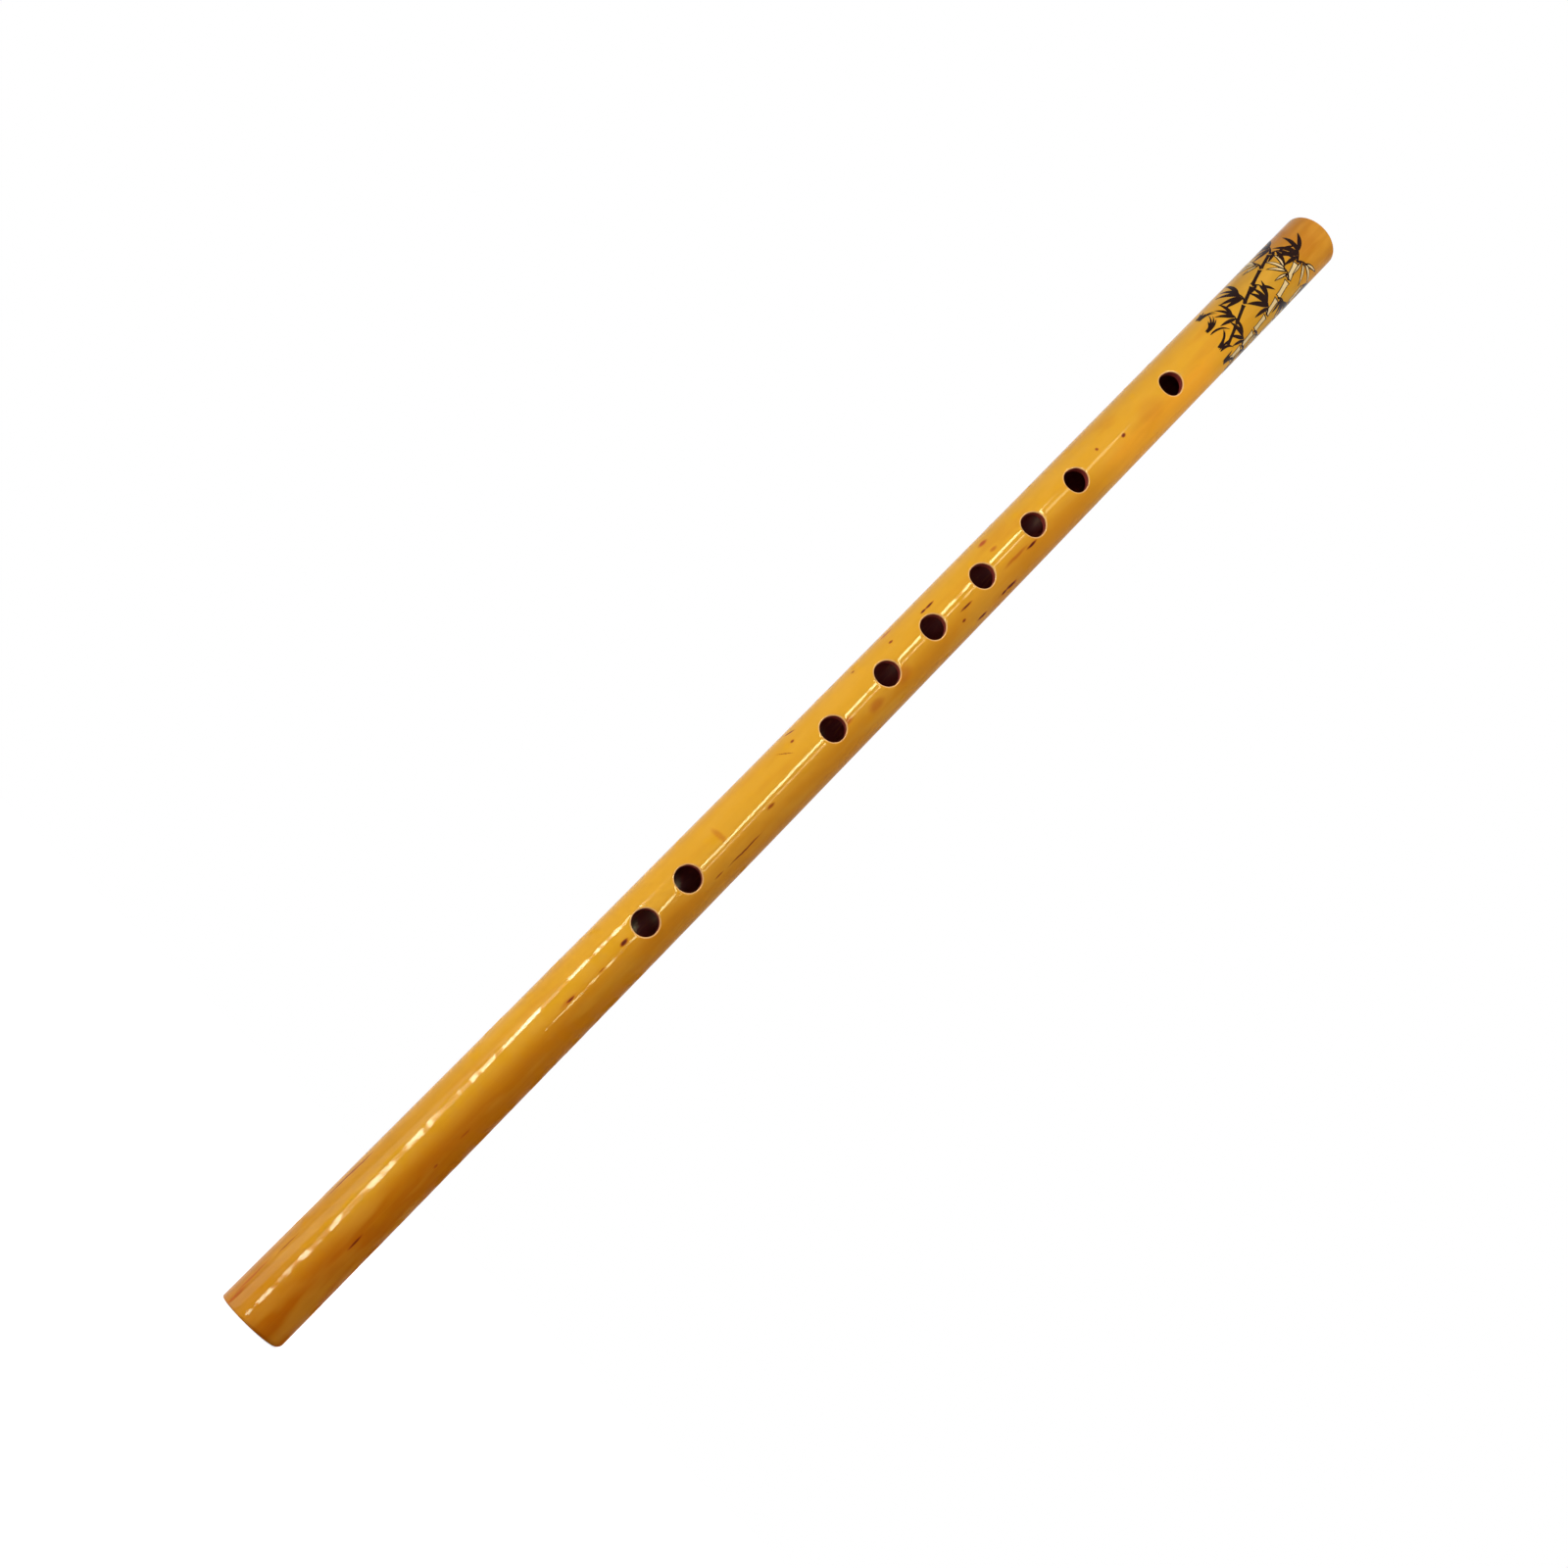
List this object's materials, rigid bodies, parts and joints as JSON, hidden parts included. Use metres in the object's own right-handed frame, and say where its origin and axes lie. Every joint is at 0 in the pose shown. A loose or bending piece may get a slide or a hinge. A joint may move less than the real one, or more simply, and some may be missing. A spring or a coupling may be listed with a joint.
{
  "type": "vertical bamboo flute",
  "caption": "End-blown vertical bamboo flute: a lacquered tube with front finger and vent holes, a rear sound window and a wooden fipple block.",
  "frame": {"origin": "centre of the foot's end face, on which the flute stands", "axes": "+Z along the bore from the foot to the mouth end, -Y out through the finger holes, +Y out through the sound window"},
  "size_m": [0.0182, 0.0178, 0.42],
  "materials": {
    "lacquered_bamboo": "golden yellow bamboo under clear gloss lacquer, dark maroon inside the bore and holes",
    "block_wood": "pale close-grained wood, sanded, unlacquered"
  },
  "bodies": {
    "root": {"bamboo_tube": "lacquered_bamboo", "fipple_block": "block_wood"}
  },
  "joints": []
}
